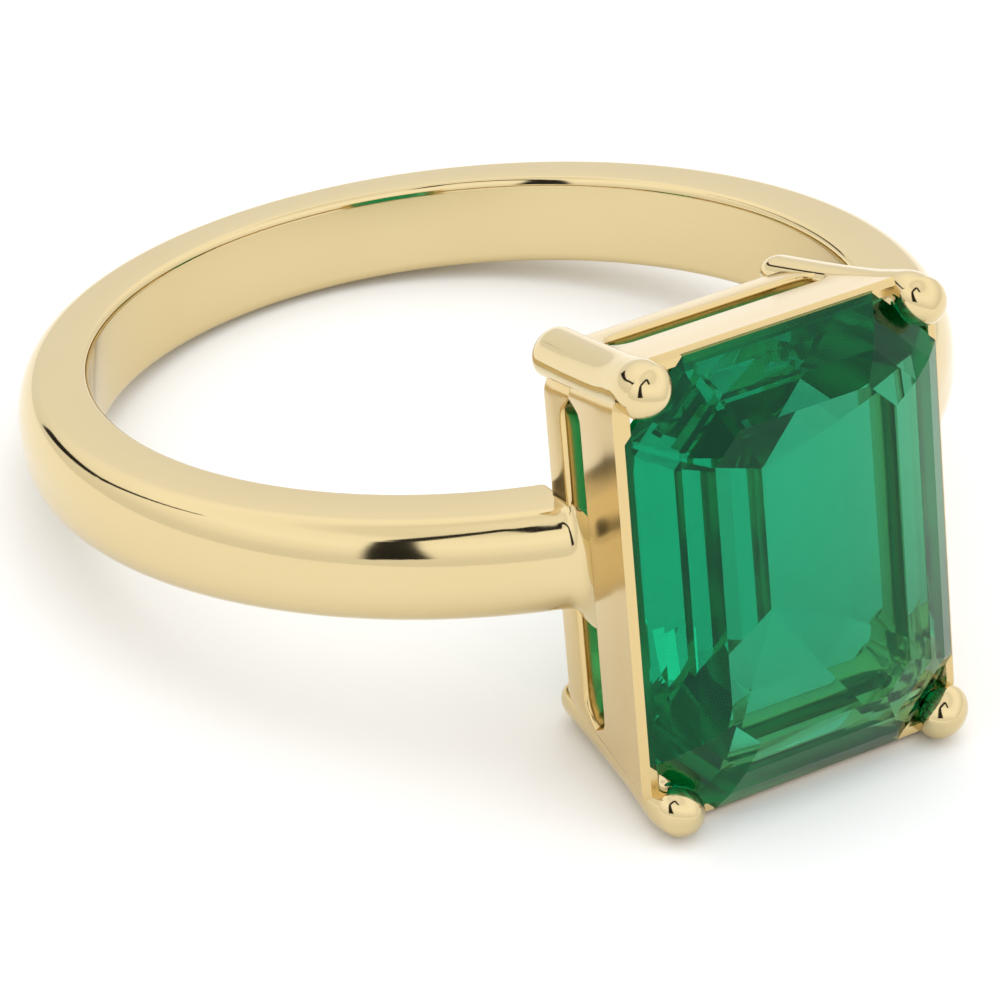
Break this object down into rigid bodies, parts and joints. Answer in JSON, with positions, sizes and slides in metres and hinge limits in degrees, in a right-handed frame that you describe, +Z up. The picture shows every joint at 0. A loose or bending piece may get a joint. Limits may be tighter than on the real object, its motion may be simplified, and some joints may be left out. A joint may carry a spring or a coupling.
{
  "type": "cocktail ring",
  "caption": "Polished yellow gold solitaire ring with one large green emerald-cut stone, held by four claws over a two-rail basket.",
  "frame": {"origin": "centre of the bounding box's base, on the surface that the ring lies on", "axes": "+Z up, -Y towards the stone (front), +X across the stone; the ring lies on its two lower claws and the back of its shank, so the finger's axis leans 11 degrees from +Z towards +Y"},
  "size_m": [0.0206, 0.0234, 0.0104],
  "materials": {
    "shank_gold": "mirror-polished pale yellow gold",
    "basket_gold": "polished pale yellow gold",
    "claw_gold": "polished pale yellow gold",
    "green_stone": "polished flat facets, clear deep green"
  },
  "bodies": {
    "root": {"shank": "shank_gold", "lower_gallery_rail": "basket_gold", "upper_gallery_rail": "basket_gold", "upper_left_claw": "claw_gold", "upper_right_claw": "claw_gold", "lower_left_claw": "claw_gold", "lower_right_claw": "claw_gold", "emerald_cut_stone": "green_stone"}
  },
  "joints": []
}
